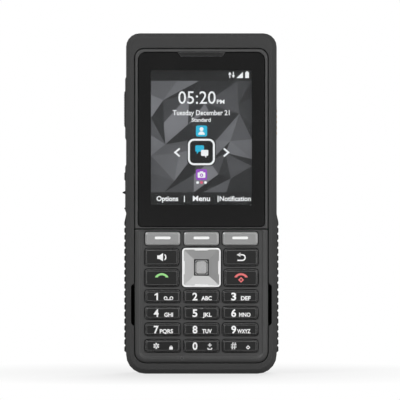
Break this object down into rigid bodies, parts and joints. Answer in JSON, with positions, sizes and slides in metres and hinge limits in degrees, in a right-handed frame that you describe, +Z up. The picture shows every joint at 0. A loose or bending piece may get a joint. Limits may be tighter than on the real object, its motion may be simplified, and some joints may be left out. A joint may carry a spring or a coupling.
{
  "type": "rugged keypad handset",
  "caption": "Rugged bar-style keypad handset with a small portrait screen, soft keys, a square direction pad, a number pad, side keys and a latched battery cover.",
  "frame": {"origin": "under the middle of the handset, on the surface that its bottom edge stands on", "axes": "+Z up along the handset's length, -Y out of the screen and keys, +X to the right as the screen is read"},
  "size_m": [0.067, 0.0204, 0.146],
  "materials": {
    "bumper_rubber": "fine moulded grain, matte",
    "frame_plastic": "satin moulded",
    "housing_plastic": "fine moulded grain",
    "key_plastic": "satin moulded, printed legends",
    "silver_plastic": "silver paint, satin",
    "window_glass": "polished, black printed border",
    "display": "lit panel",
    "steel_mesh": "black woven mesh",
    "sheet_steel": "stamped sheet",
    "screw_steel": "blackened steel",
    "silicone": "matte",
    "circuit_board": "solder mask",
    "battery_wrap": "plain wrap",
    "flash_plastic": "clear yellowish lens"
  },
  "bodies": {
    "root": {"bumper": "bumper_rubber", "grip_left": "bumper_rubber", "grip_right": "bumper_rubber", "window_frame": "frame_plastic", "window_glass": "window_glass", "earpiece_mesh": "steel_mesh", "display_gasket": "silicone", "display_module": "display", "keypad_frame": "frame_plastic", "key_mat": "silicone", "dome_sheet": "sheet_steel", "main_board": "circuit_board", "shield_can": "sheet_steel", "sim_socket": "sheet_steel", "loudspeaker": "sheet_steel", "vibration_motor": "sheet_steel", "earpiece_receiver": "sheet_steel", "microphone": "sheet_steel", "speaker_grille_left": "steel_mesh", "speaker_grille_right": "steel_mesh", "usb_connector": "sheet_steel", "rear_housing": "housing_plastic", "battery": "battery_wrap", "battery_contacts": "key_plastic", "screw_bottom_left": "screw_steel", "screw_bottom_right": "screw_steel", "screw_top_left": "screw_steel", "screw_top_right": "screw_steel", "rear_camera": "key_plastic", "camera_window": "window_glass", "flash_lens": "flash_plastic", "accessory_connector": "key_plastic"},
    "softkey_left": {"softkey_left": "silver_plastic"},
    "softkey_middle": {"softkey_middle": "silver_plastic"},
    "softkey_right": {"softkey_right": "silver_plastic"},
    "speaker_key": {"speaker_key": "key_plastic"},
    "back_key": {"back_key": "key_plastic"},
    "call_key": {"call_key": "key_plastic"},
    "end_key": {"end_key": "key_plastic"},
    "ok_key": {"ok_key": "silver_plastic"},
    "key_1": {"key_1": "key_plastic"},
    "key_2": {"key_2": "key_plastic"},
    "key_3": {"key_3": "key_plastic"},
    "key_4": {"key_4": "key_plastic"},
    "key_5": {"key_5": "key_plastic"},
    "key_6": {"key_6": "key_plastic"},
    "key_7": {"key_7": "key_plastic"},
    "key_8": {"key_8": "key_plastic"},
    "key_9": {"key_9": "key_plastic"},
    "key_star": {"key_star": "key_plastic"},
    "key_0": {"key_0": "key_plastic"},
    "key_pound": {"key_pound": "key_plastic"},
    "nav_actuator": {"nav_actuator": "silicone"},
    "nav_ring": {"nav_ring": "silver_plastic"},
    "ptt_key": {"ptt_key": "bumper_rubber"},
    "volume_rocker": {"volume_rocker": "bumper_rubber"},
    "usb_cover": {"usb_cover": "bumper_rubber"},
    "battery_cover": {"battery_cover": "housing_plastic"},
    "latch_left": {"latch_left": "screw_steel"},
    "latch_right": {"latch_right": "screw_steel"}
  },
  "joints": [
    {"name": "softkey_left_press", "type": "slide", "parent": "root", "child": "softkey_left", "axis": [0, 1, 0], "range_m": [0, 0.0004], "stiffness_N_per_m": 800},
    {"name": "softkey_middle_press", "type": "slide", "parent": "root", "child": "softkey_middle", "axis": [0, 1, 0], "range_m": [0, 0.0004], "stiffness_N_per_m": 800},
    {"name": "softkey_right_press", "type": "slide", "parent": "root", "child": "softkey_right", "axis": [0, 1, 0], "range_m": [0, 0.0004], "stiffness_N_per_m": 800},
    {"name": "speaker_key_press", "type": "slide", "parent": "root", "child": "speaker_key", "axis": [0, 1, 0], "range_m": [0, 0.0004], "stiffness_N_per_m": 800},
    {"name": "back_key_press", "type": "slide", "parent": "root", "child": "back_key", "axis": [0, 1, 0], "range_m": [0, 0.0004], "stiffness_N_per_m": 800},
    {"name": "call_key_press", "type": "slide", "parent": "root", "child": "call_key", "axis": [0, 1, 0], "range_m": [0, 0.0004], "stiffness_N_per_m": 800},
    {"name": "end_key_press", "type": "slide", "parent": "root", "child": "end_key", "axis": [0, 1, 0], "range_m": [0, 0.0004], "stiffness_N_per_m": 800},
    {"name": "ok_key_press", "type": "slide", "parent": "root", "child": "ok_key", "axis": [0, 1, 0], "range_m": [0, 0.0004], "stiffness_N_per_m": 800},
    {"name": "key_1_press", "type": "slide", "parent": "root", "child": "key_1", "axis": [0, 1, 0], "range_m": [0, 0.0004], "stiffness_N_per_m": 800},
    {"name": "key_2_press", "type": "slide", "parent": "root", "child": "key_2", "axis": [0, 1, 0], "range_m": [0, 0.0004], "stiffness_N_per_m": 800},
    {"name": "key_3_press", "type": "slide", "parent": "root", "child": "key_3", "axis": [0, 1, 0], "range_m": [0, 0.0004], "stiffness_N_per_m": 800},
    {"name": "key_4_press", "type": "slide", "parent": "root", "child": "key_4", "axis": [0, 1, 0], "range_m": [0, 0.0004], "stiffness_N_per_m": 800},
    {"name": "key_5_press", "type": "slide", "parent": "root", "child": "key_5", "axis": [0, 1, 0], "range_m": [0, 0.0004], "stiffness_N_per_m": 800},
    {"name": "key_6_press", "type": "slide", "parent": "root", "child": "key_6", "axis": [0, 1, 0], "range_m": [0, 0.0004], "stiffness_N_per_m": 800},
    {"name": "key_7_press", "type": "slide", "parent": "root", "child": "key_7", "axis": [0, 1, 0], "range_m": [0, 0.0004], "stiffness_N_per_m": 800},
    {"name": "key_8_press", "type": "slide", "parent": "root", "child": "key_8", "axis": [0, 1, 0], "range_m": [0, 0.0004], "stiffness_N_per_m": 800},
    {"name": "key_9_press", "type": "slide", "parent": "root", "child": "key_9", "axis": [0, 1, 0], "range_m": [0, 0.0004], "stiffness_N_per_m": 800},
    {"name": "key_star_press", "type": "slide", "parent": "root", "child": "key_star", "axis": [0, 1, 0], "range_m": [0, 0.0004], "stiffness_N_per_m": 800},
    {"name": "key_0_press", "type": "slide", "parent": "root", "child": "key_0", "axis": [0, 1, 0], "range_m": [0, 0.0004], "stiffness_N_per_m": 800},
    {"name": "key_pound_press", "type": "slide", "parent": "root", "child": "key_pound", "axis": [0, 1, 0], "range_m": [0, 0.0004], "stiffness_N_per_m": 800},
    {"name": "nav_tilt_sideways", "type": "hinge", "parent": "root", "child": "nav_actuator", "pos_m": [0, -0.00875, 0.04556], "axis": [0, 0, 1], "range_deg": [-2, 2], "stiffness_Nm_per_rad": 0.2},
    {"name": "nav_tilt_up_down", "type": "hinge", "parent": "nav_actuator", "child": "nav_ring", "pos_m": [0, -0.00875, 0.04556], "axis": [1, 0, 0], "range_deg": [-2, 2], "stiffness_Nm_per_rad": 0.2},
    {"name": "ptt_press", "type": "slide", "parent": "root", "child": "ptt_key", "axis": [1, 0, 0], "range_m": [0, 0.0005], "stiffness_N_per_m": 1000},
    {"name": "volume_rock", "type": "hinge", "parent": "root", "child": "volume_rocker", "pos_m": [-0.0315, 0, 0.0794], "axis": [0, 1, 0], "range_deg": [-2, 2], "stiffness_Nm_per_rad": 0.2},
    {"name": "usb_cover_swing", "type": "hinge", "parent": "root", "child": "usb_cover", "pos_m": [0.0038, 0.0013, 0.0002], "axis": [1, 0, 0], "range_deg": [0, 100]},
    {"name": "battery_cover_lift", "type": "slide", "parent": "root", "child": "battery_cover", "axis": [0, 1, 0], "range_m": [0, 0.012]},
    {"name": "latch_left_turn", "type": "hinge", "parent": "battery_cover", "child": "latch_left", "pos_m": [-0.019, 0.0099, 0.0248], "axis": [0, 1, 0], "range_deg": [0, 90]},
    {"name": "latch_right_turn", "type": "hinge", "parent": "battery_cover", "child": "latch_right", "pos_m": [0.019, 0.0099, 0.0248], "axis": [0, 1, 0], "range_deg": [-90, 0]}
  ]
}
